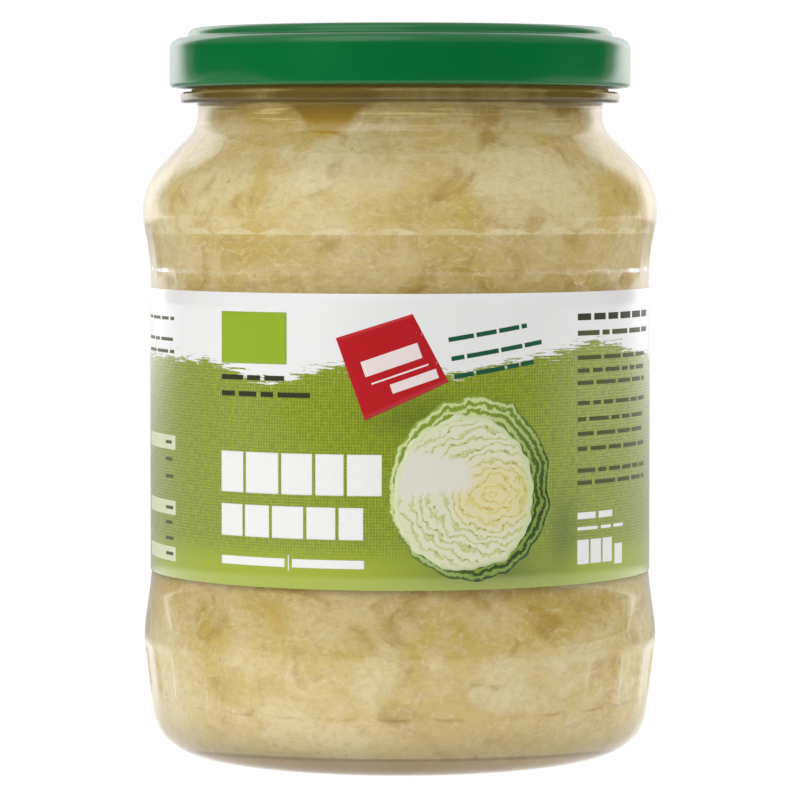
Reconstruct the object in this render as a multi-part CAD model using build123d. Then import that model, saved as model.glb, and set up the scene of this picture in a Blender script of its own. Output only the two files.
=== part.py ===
from build123d import *

import os
from math import atan2, cos, degrees, hypot, pi, radians, sin, tan

# A glass preserving jar of sauerkraut with a stepped steel twist-off lid and a paper label.
# Millimetres, +Z up. The origin is the centre of the foot ring, on the surface that the jar
# stands on, and the middle of the label faces -Y.

# ---------------------------------------------------------------- driving dimensions
# Glass body. Its outline is straight runs with a round at each corner.
body_radius = 46.25  # outside of the straight panel that carries the label
wall = 2.6
base_thickness = 4.2
ring_width = 1.9  # flat of the foot ring
push_up = 2.2  # height of the hollow under the base
push_up_edge = 1.4  # height of that hollow near the foot ring
push_up_slope = 3.2  # how far in from the ring it takes to rise there
heel_in = 1.0  # corner of the heel, inwards from the body
lower_bulge_out = 1.53  # corner of the lower bulge, outwards from the body
lower_bulge_height = 21.9
foot_height = 32.6  # where the straight panel starts
panel_length = 59.4
upper_bulge_out = 2.83
upper_bulge_rise = 12.0  # upper bulge above the end of the straight panel
shoulder_angle = 45.0
neck_radius = 37.5
neck_length = 4.5  # from the shoulder to the bead
push_up_round = 6.0
ring_round = 0.8
heel_round = 8.5
lower_bulge_round = 20.0
panel_start_round = 30.0
panel_end_round = 42.0
upper_bulge_round = 13.2
neck_round = 6.0
floor_round = 7.0

# Facets: a band of flat panels pressed into each bulge.
facet_count = 28
facet_phase = -1.37  # degrees from the front to the nearest panel
facet_rib = 1.1  # left between two panels
facet_depth = 0.35
facet_corner = 2.4
facet_taper = 45.0
facet_clear = 3.0  # height of the blocks that cut the panels
lower_facet_bottom = 10.3
lower_facet_height = 10.2
upper_facet_drop = 4.0  # lower edge of the upper band, below the end of the straight panel
upper_facet_height = 9.6

# Finish: bead, wall, threads and rim.
bead_out = 3.2  # beyond the neck
bead_height = 2.1
bead_round = 0.7
finish_out = 1.1  # beyond the neck
finish_height = 13.6  # from the underside of the bead to the rim
finish_foot_round = 0.5
rim_round = 1.2
thread_count = 6
thread_out = 1.5
thread_height = 1.3
thread_root = 0.5  # how deep a thread is sunk into the finish
thread_arc = 40.0
thread_lead = 2.0  # degrees that a thread climbs

# Lid: pressed sheet whose top ring rests on the rim.
lid_sheet = 0.3
skirt_gap = 3.8  # between the finish and the inside of the skirt
curl_clear = 0.8  # from the bead up to the curl
seat_overhang = 0.3  # top ring beyond the finish
ring_slope = 0.5  # how far out the ring's side leans
shoulder_drop = 1.7  # step from the top ring to the inner edge of the shoulder
shoulder_fall = 0.3  # slope of the shoulder, out to the skirt
panel_drop = 0.9  # middle of the lid, below its top ring
panel_slope = 1.2
button_drop = 0.5
button_radius = 13.0
button_slope = 2.5
curl_width = 1.7
curl_height = 1.4
lug_arc = 12.0
lug_clearance = 0.4
button_round = 3.0
panel_round = 0.8
ring_inner_round = 0.5
ring_outer_round = 1.5
valley_round = 0.6
shoulder_round = 2.2
curl_outer_round = 0.8
curl_inner_round = 0.7

# Label: one turn of paper with its end glued over its start at the back.
label_foot_margin = 1.3  # from the start of the straight panel
label_top_margin = 5.8  # from the end of the straight panel
label_paper = 0.15
label_overlap = 8.0
glue = 0.05

# Contents.
contents_gap = 0.05  # between the contents and the glass, and under the brine
brine_below_rim = 6.7
cabbage_below_rim = 13.2
cabbage_wave = 0.9
wave_length = 34.0
# Hollows in the top of the cabbage: degrees from the front, distance in from the bore,
# depth and spread.
hollows = (
    (-21, 2.9, 7.5, 7),
    (-58, 3.9, 4.5, 9),
    (56, 3.9, 5.5, 9),
    (130, 6.9, 5.0, 10),
    (-135, 9.9, 6.0, 10),
)
heap_samples = 25  # each way over the uneven top

# ---------------------------------------------------------------- worked out from those
foot_radius = body_radius - heel_in
panel_end = foot_height + panel_length
upper_bulge_height = panel_end + upper_bulge_rise
upper_bulge_radius = body_radius + upper_bulge_out
shoulder_height = (upper_bulge_radius - neck_radius) * tan(radians(shoulder_angle))
neck_start = upper_bulge_height + shoulder_height
bead_start = neck_start + neck_length
bead_top = bead_start + bead_height
finish_radius = neck_radius + finish_out
rim_height = bead_start + finish_height
lid_top = rim_height + lid_sheet
skirt_radius = finish_radius + skirt_gap + lid_sheet
curl_bottom = bead_top + curl_clear
curl_inside = skirt_radius - curl_width
bore = neck_radius - wall
brine_level = rim_height - brine_below_rim
label_bottom = foot_height + label_foot_margin
label_height = panel_length - label_foot_margin - label_top_margin

# Outer corners of the body as (radius, height), from the foot ring up to the bead, and the
# round of each corner between the two ends, and whether it bulges.
body_corners = [
    (foot_radius - heel_round, 0),
    (foot_radius, 0),
    (body_radius + lower_bulge_out, lower_bulge_height),
    (body_radius, foot_height),
    (body_radius, panel_end),
    (upper_bulge_radius, upper_bulge_height),
    (neck_radius, neck_start),
    (neck_radius, bead_start),
]
body_rounds = [
    heel_round,
    lower_bulge_round,
    panel_start_round,
    panel_end_round,
    upper_bulge_round,
    neck_round,
]
body_bulges = [True, True, False, False, True, False]


def inset(corners, gaps):
    """Inner corners of an open outline whose straight runs each move in by their own gap."""
    moved = []
    for (r0, z0), (r1, z1), gap in zip(corners, corners[1:], gaps):
        share = gap / hypot(r1 - r0, z1 - z0)
        start = (r0 - (z1 - z0) * share, z0 + (r1 - r0) * share)
        moved.append((start, (r1 - r0, z1 - z0)))
    inner = []
    for ((ra, za), (ua, va)), ((rb, zb), (ub, vb)) in zip(moved, moved[1:]):
        along = ((rb - ra) * vb - (zb - za) * ub) / (ua * vb - va * ub)
        inner.append((ra + along * ua, za + along * va))
    return inner


def reach_of(before, corner, after):
    """Length of run that a round of radius 1 takes up on each side of a corner."""
    turn = atan2(after[1] - corner[1], after[0] - corner[0])
    turn -= atan2(corner[1] - before[1], corner[0] - before[0])
    return abs(tan(turn / 2))


def limited(corners, rounds):
    """Rounds of a closed outline, made smaller where two would meet on one run."""
    following = corners[1:] + corners[:1]
    leading = corners[-1:] + corners[:-1]
    taken = [r * reach_of(*each) for r, each in zip(rounds, zip(leading, corners, following))]
    shares = []
    for here, there, a, b in zip(corners, following, taken, taken[1:] + taken[:1]):
        run = hypot(there[0] - here[0], there[1] - here[1])
        shares.append(min(1.0, 0.98 * run / (a + b)) if a + b > 0 else 1.0)
    return [r * min(shares[i - 1], shares[i]) for i, r in enumerate(rounds)]


def turned(corners, rounds):
    """Solid of revolution about Z of a closed outline of (radius, height) corners."""
    points = [(r, 0, z) for r, z in corners]
    line = FilletPolyline(*points, radius=limited(corners, rounds), close=True)
    return revolve(make_face(line), Axis.Z)


def round_about(thing, count):
    """Copies of a thing, evenly spaced about Z."""
    return [Rot(0, 0, i * 360 / count) * thing for i in range(count)]


def ring_block(inside, outside, bottom, top, arc):
    """Piece of a square-edged ring, centred on +X, over an arc in degrees."""
    corners = [(inside, 0, bottom), (outside, 0, bottom), (outside, 0, top), (inside, 0, top)]
    face = make_face(Polyline(*corners, close=True))
    return Rot(0, 0, -arc / 2) * revolve(face, Axis.Z, arc)


def inside_outline(gap):
    """Corners and rounds of the inside of the glass, or of what fills it at this gap."""
    offset = wall + gap
    corners = inset(body_corners, [base_thickness + gap] + [offset] * len(body_rounds))
    rounds = [r - offset if out else r + offset for r, out in zip(body_rounds, body_bulges)]
    rounds[0] = floor_round - gap
    return corners, rounds


def jar_blank():
    """The jar without its facets and threads."""
    ring_outer = foot_radius - heel_round * reach_of(*body_corners[:3])
    ring_inner = ring_outer - ring_width
    bead_radius = neck_radius + bead_out
    inner, inner_rounds = inside_outline(0)
    corners = [
        (0, push_up),
        (ring_inner - push_up_slope, push_up_edge),
        (ring_inner, 0),
        *body_corners[1:],
        (bead_radius, bead_start),
        (bead_radius, bead_top),
        (finish_radius, bead_top),
        (finish_radius, rim_height),
        (bore, rim_height),
        *reversed(inner),
        (0, inner[0][1] + push_up - push_up_edge),
    ]
    bead_rounds = [bead_round, bead_round, bead_round, finish_foot_round]
    rounds = [0, push_up_round, ring_round, *body_rounds, *bead_rounds, rim_round, rim_round]
    return turned(corners, [*rounds, *reversed(inner_rounds), 0])


def facet_cutters(bottom, height):
    """One band of tapered rounded blocks whose flat floors lie parallel to the bulge."""
    points = [(r, 0, z) for r, z in body_corners]
    rounds = limited(body_corners, [0, *body_rounds, 0])[1:-1]
    outline = FilletPolyline(*points, radius=rounds)
    radii = []
    for z in (bottom, bottom + height):
        level = Edge.make_line((0, 0, z), (2 * body_radius, 0, z))
        radii.append(outline.intersect(level).vertices()[0].X)
    lean = atan2(radii[0] - radii[1], height)
    middle = (sum(radii) / 2 - facet_depth, 0, bottom + height / 2)
    floor = Plane(origin=middle, x_dir=(0, 1, 0), z_dir=(cos(lean), 0, sin(lean)))
    width = pi * sum(radii) / facet_count - facet_rib
    bevel = 2 * facet_depth
    panel = floor * RectangleRounded(width - bevel, height - bevel, facet_corner)
    block = extrude(panel, facet_clear, taper=-facet_taper)
    return round_about(Rot(0, 0, facet_phase - 90) * block, facet_count)


def threads():
    """Short ramps round the finish that the lid's lugs turn under."""
    climb = finish_radius * sin(radians(thread_arc / 2)) * tan(radians(thread_lead))
    bottom = curl_bottom + curl_height + lug_clearance + climb
    inside = finish_radius - thread_root
    ramp = ring_block(inside, finish_radius + thread_out, 0, thread_height, thread_arc)
    return round_about(Pos(0, 0, bottom) * Rot(thread_lead, 0, 0) * ramp, thread_count)


def make_glass():
    """The jar: outside, inside, foot ring, bead and rim, two bands of facets and the threads."""
    lower = facet_cutters(lower_facet_bottom, lower_facet_height)
    upper = facet_cutters(panel_end - upper_facet_drop, upper_facet_height)
    return jar_blank() - lower - upper + threads()


def make_lid():
    """Lid: sunk middle with a button, ring over the rim, shoulder, skirt, inward curl and lugs."""
    ring_outside = finish_radius + seat_overhang
    panel_height = lid_top - panel_drop
    button_height = panel_height - button_drop
    shoulder_inner = lid_top - shoulder_drop
    # Outer corners from the middle out and down to the end of the curl, with the round of
    # each corner between the two ends and whether it bulges.
    outer = [
        (0, button_height),
        (button_radius, button_height),
        (button_radius + button_slope, panel_height),
        (bore - lid_sheet - panel_slope, panel_height),
        (bore - lid_sheet, lid_top),
        (ring_outside, lid_top),
        (ring_outside + ring_slope, shoulder_inner),
        (skirt_radius, shoulder_inner - shoulder_fall),
        (skirt_radius, curl_bottom),
        (curl_inside, curl_bottom),
        (curl_inside, curl_bottom + curl_height),
    ]
    corners = [
        (button_round, False),
        (button_round, True),
        (panel_round, False),
        (ring_inner_round, True),
        (ring_outer_round, True),
        (valley_round, False),
        (shoulder_round, True),
        (curl_outer_round, True),
        (curl_inner_round, True),
    ]
    outer_rounds = [r for r, _ in corners]
    inner_rounds = [r - lid_sheet if bulges else r + lid_sheet for r, bulges in corners]
    inner = inset(outer[::-1], [lid_sheet] * (len(outer) - 1))
    curl_end = (curl_inside + lid_sheet, curl_bottom + curl_height)
    middle = (0, button_height - lid_sheet)
    rounds = [0, *outer_rounds, 0, 0, *reversed(inner_rounds), 0]
    shell = turned([*outer, curl_end, *inner, middle], rounds)
    low, high = curl_bottom + lid_sheet, curl_bottom + curl_height - lid_sheet
    lug = ring_block(finish_radius + lug_clearance, curl_inside + lid_sheet / 2, low, high, lug_arc)
    return shell + round_about(lug, thread_count)


def make_label():
    """Label: a turn of paper, with the end glued over the start at the back."""
    inside = body_radius + glue
    half = label_height / 2
    sheet = Cylinder(inside + label_paper, label_height) - Cylinder(inside, label_height)
    flap = ring_block(inside, inside + 2 * label_paper, -half, half, degrees(label_overlap / inside))
    return Pos(0, 0, label_bottom + half) * (sheet + Rot(0, 0, 90) * flap)


def cabbage_top(x, y):
    """Height of the cabbage: gentle waves, less a round hollow at each of the listed places."""
    k = radians(360 / wave_length)
    waves = cos(k * x) * cos(0.8 * k * y) + cos(0.6 * k * (x - y))
    height = rim_height - cabbage_below_rim + cabbage_wave * waves / 2
    for azimuth, inward, depth, spread in hollows:
        out = bore - inward
        turn = radians(azimuth)
        away = hypot(x - out * sin(turn), y + out * cos(turn))
        height -= depth * 2 ** (-((away / spread) ** 2))
    return height


def above_cabbage(lift):
    """Block over the uneven top of the cabbage, raised by lift, wider than the jar."""
    steps = [2 * body_radius * (i / (heap_samples - 1) - 0.5) for i in range(heap_samples)]
    rows = [[Vector(x, y, cabbage_top(x, y) + lift) for y in steps] for x in steps]
    top = Face.make_surface_from_array_of_points(rows)
    return extrude(top, amount=neck_length + finish_height, dir=(0, 0, 1))


def filling():
    """Everything inside the glass up to the level of the brine."""
    corners, rounds = inside_outline(contents_gap)
    floor = (0, corners[0][1] + push_up - push_up_edge)
    top = [(bore - contents_gap, brine_level), (0, brine_level)]
    return turned([floor, *corners, *top], [0, *rounds, 0, 0])


filled = filling()
nodes = {
    "jar_glass": make_glass(),
    "lid": make_lid(),
    "label": make_label(),
    "sauerkraut": filled - above_cabbage(0),
    "brine": filled & above_cabbage(contents_gap),
}
os.makedirs("parts", exist_ok=True)
for name, solid in nodes.items():
    export_step(solid, f"parts/{name}.step")
    size = solid.bounding_box().size
    print(f"{name}: {solid.volume / 1000:.1f} ml, {size.X:.1f} x {size.Y:.1f} x {size.Z:.1f} mm")
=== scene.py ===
from math import atan2, hypot, pi, radians, sqrt, tan

import bpy
import numpy as np
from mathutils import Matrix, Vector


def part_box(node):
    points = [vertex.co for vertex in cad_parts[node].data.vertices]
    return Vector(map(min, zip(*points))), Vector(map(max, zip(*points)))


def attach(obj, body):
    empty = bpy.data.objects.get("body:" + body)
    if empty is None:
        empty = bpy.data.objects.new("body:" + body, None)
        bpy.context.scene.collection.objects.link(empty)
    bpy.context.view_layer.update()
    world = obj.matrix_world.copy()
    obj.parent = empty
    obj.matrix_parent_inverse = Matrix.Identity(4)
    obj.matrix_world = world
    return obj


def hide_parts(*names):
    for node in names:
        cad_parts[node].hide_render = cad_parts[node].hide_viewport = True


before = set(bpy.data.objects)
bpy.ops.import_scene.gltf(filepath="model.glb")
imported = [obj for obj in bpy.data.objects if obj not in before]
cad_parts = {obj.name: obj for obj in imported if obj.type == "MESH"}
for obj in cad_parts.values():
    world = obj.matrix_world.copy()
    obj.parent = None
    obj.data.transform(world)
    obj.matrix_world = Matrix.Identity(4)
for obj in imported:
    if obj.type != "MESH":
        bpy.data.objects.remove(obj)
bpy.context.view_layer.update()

bl_info = {
    "name": "Sauerkraut jar",
    "version": (1, 0, 0),
    "blender": (4, 5, 0),
    "location": "View3D > Sidebar > Jar",
    "description": "Glass preserving jar with a green lid, a paper label, brine and cabbage shreds",
    "category": "Object",
}

# ---------------------------------------------------------------- sizes
# Lengths are in millimetres up to the moment that a mesh is made, heights are above the base,
# and azimuths are in radians from the front, which faces -Y, towards +X.
MM = 0.001


def box_mm(node):
    """Lowest and highest corner of a construction node, in millimetres."""
    low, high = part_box(node)
    return np.array(low) / MM, np.array(high) / MM


RIM = box_mm("jar_glass")[1][2]
BRINE_LEVEL = box_mm("brine")[1][2]
LID_LOW, LID_HIGH = box_mm("lid")
LABEL_LOW, LABEL_HIGH = box_mm("label")
PAPER = LABEL_HIGH[1] + LABEL_LOW[1]  # the glued end stands one paper proud at the back
LABEL_RADIUS = -LABEL_LOW[1]  # outside of the single turn
GLUE = 0.05
BODY = LABEL_RADIUS - PAPER - GLUE  # outside of the straight panel behind the label
WALL = 2.6
BASE = 4.2  # thickness of the floor at its edge
PUSH_UP, PUSH_UP_EDGE = 2.2, 1.4  # height of the foot's hollow in its middle and at its edge
FOOT_RING = 35.77  # inner radius of the ring that the jar stands on
NECK = 37.5
BEAD_BOTTOM = RIM - 13.6
BEAD_TOP = BEAD_BOTTOM + 2.1
FINISH = 38.6  # outside of the finish above the bead, which carries the threads
BORE = 34.9
PANEL_START = LABEL_LOW[2] - 1.3
PANEL_END = LABEL_HIGH[2] + 5.8

# Outside corners of the glass body as (radius, height), and for each but the ends its round
# and whether it turns outwards.
BODY_CORNERS = [
    (BODY - 9.5, 0),
    (BODY - 1.0, 0),
    (BODY + 1.53, 21.9),
    (BODY, PANEL_START),
    (BODY, PANEL_END),
    (BODY + 2.83, PANEL_END + 12),
    (NECK, PANEL_END + 23.58),
    (NECK, BEAD_BOTTOM),
]
BODY_ROUNDS = [8.5, 20, 30, 42, 13.2, 6]
BODY_BULGES = [True, True, False, False, True, False]

# Bands of flat panels pressed into the two bulges: lower edge and height of each.
FACETS = 28
FACET_BANDS = ((10.3, 10.2), (PANEL_END - 4, 9.6))
FACET_PHASE = radians(-1.37)

# Hollows in the top of the cabbage: degrees from the front, distance in from the bore,
# depth and spread. The brine over one looks narrower than it is.
HOLLOWS = (
    (-21, 2.9, 7.5, 7),
    (-58, 3.9, 4.5, 9),
    (56, 3.9, 5.5, 9),
    (130, 6.9, 5.0, 10),
    (-135, 9.9, 6.0, 10),
)
CABBAGE_LEVEL = RIM - 13.2
OVERLAP = 0.05  # how far the brine reaches into the glass, so that no air shows between them


def level(*values):
    """Linear colour from display values of 0 to 255."""
    share = np.array(values) / 255
    bright = ((share + 0.055) / 1.055) ** 2.4
    return tuple(float(v) for v in np.where(share <= 0.04045, share / 12.92, bright))


# ---------------------------------------------------------------- outlines
def rounded(corners, rounds, step=radians(4)):
    """Straight runs joined by tangent arcs: an arc of radius R takes up R tan(turn / 2) of the
    run on each side of its corner."""
    corners = np.array(corners, float)
    parts = [corners[:1]]
    for before, corner, after, radius in zip(corners, corners[1:], corners[2:], rounds):
        first = (corner - before) / hypot(*(corner - before))
        last = (after - corner) / hypot(*(after - corner))
        turn = atan2(first[0] * last[1] - first[1] * last[0], first @ last)
        start = corner - first * radius * tan(abs(turn) / 2)
        side = np.array((-first[1], first[0])) * np.sign(turn)
        angles = np.linspace(0, abs(turn), 2 + int(abs(turn) / step))[:, None]
        parts.append(start + radius * (np.sin(angles) * first + (1 - np.cos(angles)) * side))
    return np.concatenate([*parts, corners[-1:]])


def inset(corners, gaps):
    """Inner corners of an outline whose straight runs each move to their left by a gap."""
    corners = np.array(corners, float)
    along = np.diff(corners, axis=0)
    along /= np.hypot(*along.T)[:, None]
    moved = corners[:-1] + np.stack([-along[:, 1], along[:, 0]], 1) * np.array(gaps)[:, None]
    found = []
    for a, u, b, v in zip(moved, along, moved[1:], along[1:]):
        reach = ((b[0] - a[0]) * v[1] - (b[1] - a[1]) * v[0]) / (u[0] * v[1] - u[1] * v[0])
        found.append(tuple(a + reach * u))
    return found


def spread(outline, count, crowd):
    """Points along an outline, closer together where it bends and where crowd is larger: a
    number, or a function of radius and height."""
    cuts = np.linspace(0, 1, 40)[:-1, None, None]
    fine = (outline[:-1] + cuts * np.diff(outline, axis=0)).transpose(1, 0, 2).reshape(-1, 2)
    fine = np.concatenate([fine, outline[-1:]])
    run = np.hypot(*np.diff(fine, axis=0).T)
    heading = np.unwrap(np.arctan2(*np.diff(fine, axis=0).T[::-1]))
    bend = np.abs(np.diff(heading, append=heading[-1:])) / radians(7)
    weight = run * (crowd(*fine[:-1].T) if callable(crowd) else crowd) + bend
    total = np.concatenate([[0], np.cumsum(weight)])
    wanted = np.linspace(0, total[-1], count)
    return np.stack([np.interp(wanted, total, side) for side in fine.T], 1)


def inside_outline(gap, top):
    """Inside of the glass, or of what fills it at a gap, from the middle of its floor up to
    the height top."""
    offset = WALL + gap
    corners = inset(BODY_CORNERS, [BASE + gap] + [offset] * len(BODY_ROUNDS))
    rounds = [r - offset if out else r + offset for r, out in zip(BODY_ROUNDS, BODY_BULGES)]
    rounds[0] = 7.0 - gap
    middle = (0, corners[0][1] + PUSH_UP - PUSH_UP_EDGE)
    return rounded([middle, *corners, (BORE - gap, top)], rounds)


def cabbage_top(x, y):
    """Height of the cabbage: two gentle waves, less a round hollow at each listed place."""
    k = 2 * pi / 34  # for waves 34 mm long
    waves = np.cos(k * x) * np.cos(0.8 * k * y) + np.cos(0.6 * k * (x - y))
    height = CABBAGE_LEVEL + 0.45 * waves
    for azimuth, inward, depth, width in HOLLOWS:
        away = np.hypot(
            x - (BORE - inward) * np.sin(radians(azimuth)),
            y + (BORE - inward) * np.cos(radians(azimuth)),
        )
        height = height - depth * 2.0 ** -((away / width) ** 2)
    return height


def ripple(seed, waves, scale):
    """A smooth random field: the mean of sine waves of random direction and phase, each about
    scale long, as a function of x, y and z."""
    rng = np.random.default_rng(seed)
    heading = rng.normal(size=(waves, 3))
    heading /= np.linalg.norm(heading, axis=1)[:, None]
    heading *= 2 * pi / scale * rng.uniform(0.6, 1.6, (waves, 1))
    phase = rng.uniform(0, 2 * pi, waves)

    def field(x, y, z):
        total = np.zeros(np.broadcast(x, y, z).shape)
        for (a, b, c), shift in zip(heading, phase):
            total = total + np.sin(a * x + b * y + c * z + shift)
        return total * sqrt(2 / waves)

    return field


# ---------------------------------------------------------------- meshes
def faces_of(rows, columns, wrap_rows=False, wrap_columns=True):
    """Corner numbers of the quads of a grid, numbered row by row. They face outwards when rows
    run up an outside wall and columns run round it towards +X."""
    row = np.arange(rows if wrap_rows else rows - 1)[:, None]
    column = np.arange(columns if wrap_columns else columns - 1)[None, :]
    up, along = (row + 1) % rows, (column + 1) % columns
    quads = [row * columns + column, row * columns + along, up * columns + along]
    quads.append(up * columns + column)
    return np.stack([np.broadcast_to(q, (len(row), column.size)) for q in quads], -1).reshape(-1, 4)


def fan(ring, pole):
    """Triangles from a ring of corners to a pole, as quads whose last corner is -1."""
    following = np.roll(ring, -1)
    return np.stack([ring, following, np.full_like(ring, pole), np.full_like(ring, -1)], -1)


def make_mesh(name, points, faces):
    """Smooth mesh from points in millimetres and quads, of which -1 as last corner says that
    it is a triangle."""
    mesh = bpy.data.meshes.new(name)
    mesh.vertices.add(len(points))
    mesh.vertices.foreach_set("co", (np.asarray(points) * MM).astype(np.float32).ravel())
    sizes = np.where(faces[:, 3] < 0, 3, 4)
    corners = faces[faces >= 0]
    mesh.loops.add(len(corners))
    mesh.loops.foreach_set("vertex_index", corners.astype(np.int32))
    mesh.polygons.add(len(faces))
    mesh.polygons.foreach_set("loop_start", (np.cumsum(sizes) - sizes).astype(np.int32))
    mesh.polygons.foreach_set("use_smooth", np.ones(len(faces), bool))
    mesh.update(calc_edges=True)
    if mesh.validate():
        raise RuntimeError(f"{name} has a broken face")
    return mesh


def lathe(outline, azimuths, shape=None):
    """Points and faces of a turned solid whose outline starts and ends on the axis: x is
    radius times sin(azimuth), y is minus radius times cos(azimuth). shape(radius, height,
    azimuth) may change the radius."""
    radius, height = outline[1:-1].T[:, :, None]
    azimuth = azimuths[None, :]
    if shape is not None:
        radius = shape(radius, height, azimuth)
    grid = np.broadcast_arrays(radius * np.sin(azimuth), -radius * np.cos(azimuth), height)
    points = np.stack(grid, -1).reshape(-1, 3)
    rows, columns = len(outline) - 2, len(azimuths)
    ring, last = np.arange(columns), rows * columns
    ends = [(0, 0, outline[0][1]), (0, 0, outline[-1][1])]
    faces = [
        faces_of(rows, columns),
        fan(ring[::-1], last),
        fan(ring + last - columns, last + 1),
    ]
    return np.concatenate([points, ends]), np.concatenate(faces)


def even_turn(count):
    """Azimuths of a full turn in equal steps."""
    return np.arange(count) * 2 * pi / count


def add_uv(mesh, u, v):
    """UV map "Face" from one pair of numbers for each corner point of the mesh."""
    corner = np.zeros(len(mesh.loops), np.int32)
    mesh.loops.foreach_get("vertex_index", corner)
    layer = mesh.uv_layers.new(name="Face")
    layer.uv.foreach_set("vector", np.stack([u, v], 1)[corner].astype(np.float32).ravel())


def add_values(mesh, name, values):
    """Attribute with one number for each point of the mesh."""
    layer = mesh.attributes.new(name, "FLOAT", "POINT")
    layer.data.foreach_set("value", np.asarray(values, np.float32).ravel())


def place(name, mesh, material, slot, *nodes):
    """Adds a finished piece to the jar: it rides on the jar's body, takes its material and may
    stand for construction nodes, which it hides. The slot argument is not used."""
    piece = bpy.data.objects.new(name, mesh)
    bpy.context.scene.collection.objects.link(piece)
    mesh.materials.append(material)
    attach(piece, "root")
    if nodes:
        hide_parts(*nodes)


# ---------------------------------------------------------------- shader sums
class Value:
    """An output of a shader node. Sums written with it add the Math nodes that work them out."""

    def __init__(self, tree, socket):
        self.tree = tree
        self.socket = socket

    def math(self, operation, *others):
        """This value, or it and others, through one Math node."""
        sockets = dict(enumerate((self, *others)))
        return self.tree.node("ShaderNodeMath", {"operation": operation}, sockets)

    def other(self, name):
        """Another output of the same node."""
        return Value(self.tree, self.socket.node.outputs[name])

    def __add__(self, other):
        return self.math("ADD", other)

    def __mul__(self, other):
        return self.math("MULTIPLY", other)

    def __sub__(self, other):
        return self.math("SUBTRACT", other)

    def __rsub__(self, other):
        return self.tree.node("ShaderNodeMath", {"operation": "SUBTRACT"}, {0: other, 1: self})

    __rmul__ = __mul__

    def ramp(self, low, high):
        """0 below low, 1 above high and a smooth step between them."""
        settings = {"interpolation_type": "SMOOTHSTEP"}
        sockets = {"Value": self, "From Min": low, "From Max": high}
        return self.tree.node("ShaderNodeMapRange", settings, sockets)


class Tree:
    """A node tree under construction."""

    def __init__(self, owner):
        owner.use_nodes = True
        self.tree = owner.node_tree
        self.tree.nodes.clear()

    def node(self, kind, settings=None, sockets=None, output=0):
        """Adds one node: its settings first, then the values or links of its sockets."""
        made = self.tree.nodes.new(kind)
        for name, value in (settings or {}).items():
            setattr(made, name, value)
        for key, value in (sockets or {}).items():
            if isinstance(value, Value):
                self.tree.links.new(value.socket, made.inputs[key])
            elif made.inputs[key].type == "RGBA" and len(value) == 3:
                made.inputs[key].default_value = (*value, 1)
            else:
                made.inputs[key].default_value = value
        return Value(self, made.outputs[output]) if made.outputs else None

    def blend(self, first, *coats):
        """A colour with others laid over it in turn. A coat is its amount and its colour."""
        for amount, colour in coats:
            sockets = {0: amount, 6: first, 7: colour}
            first = self.node("ShaderNodeMix", {"data_type": "RGBA"}, sockets, 2)
        return first

    def mix(self, amount, first, second):
        """Two surfaces mixed by the amount of the second."""
        return self.node("ShaderNodeMixShader", None, {0: amount, 1: first, 2: second})

    def rays(self, *kinds):
        """For each kind, whether the ray that meets the surface is of that kind."""
        path = self.node("ShaderNodeLightPath")
        return [path.other(f"Is {kind} Ray") for kind in kinds]

    def split(self, where):
        """The three parts of coordinates."""
        x = self.node("ShaderNodeSeparateXYZ", None, {0: where})
        return x, x.other("Y"), x.other("Z")

    def noise(self, where, scale, detail=2.0, roughness=0.5, curl=0.0):
        """Noise of about 0 to 1 at a place, drawn out into wisps by its curl."""
        sockets = {"Vector": where, "Scale": scale, "Detail": detail, "Roughness": roughness}
        sockets["Distortion"] = curl
        return self.node("ShaderNodeTexNoise", None, sockets)

    def place(self, along=1.0, up=1.0):
        """The object's own coordinates in metres, stretched along x and y, and up z."""
        coordinates = self.node("ShaderNodeTexCoord", None, None, "Object")
        sockets = {"Vector": coordinates, "Scale": (along, along, up)}
        return self.node("ShaderNodeMapping", None, sockets)

    def face(self):
        """The piece's own UV map, in millimetres."""
        return self.node("ShaderNodeUVMap", {"uv_map": "Face"})

    def grain(self, u, v, detail, roughness=0.5):
        """Noise on the piece's own UV map, with so many waves to the millimetre each way."""
        spot = self.node("ShaderNodeMapping", None, {"Vector": self.face(), "Scale": (u, v, 1)})
        return self.noise(spot, 1.0, detail, roughness)

    def bump(self, height, distance):
        """Normal for a relief of a height of 0 to 1 times a distance in metres."""
        sockets = {"Height": height, "Distance": distance, "Strength": 1.0}
        return self.node("ShaderNodeBump", None, sockets)

    def attribute(self, name):
        """A number stored on the mesh."""
        return self.node("ShaderNodeAttribute", {"attribute_name": name}, None, "Fac")


def new_material(name):
    """A material and its empty node tree."""
    material = bpy.data.materials.new(name)
    return material, Tree(material)


def opaque(tree, colour, roughness, normal, **constants):
    """Ends a material in a principled surface. Each constant is a socket's name with _ for its
    spaces."""
    sockets = {"Base Color": colour, "Roughness": roughness, "Normal": normal}
    sockets.update({name.replace("_", " "): value for name, value in constants.items()})
    surface = tree.node("ShaderNodeBsdfPrincipled", None, sockets)
    tree.node("ShaderNodeOutputMaterial", None, {"Surface": surface})


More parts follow.
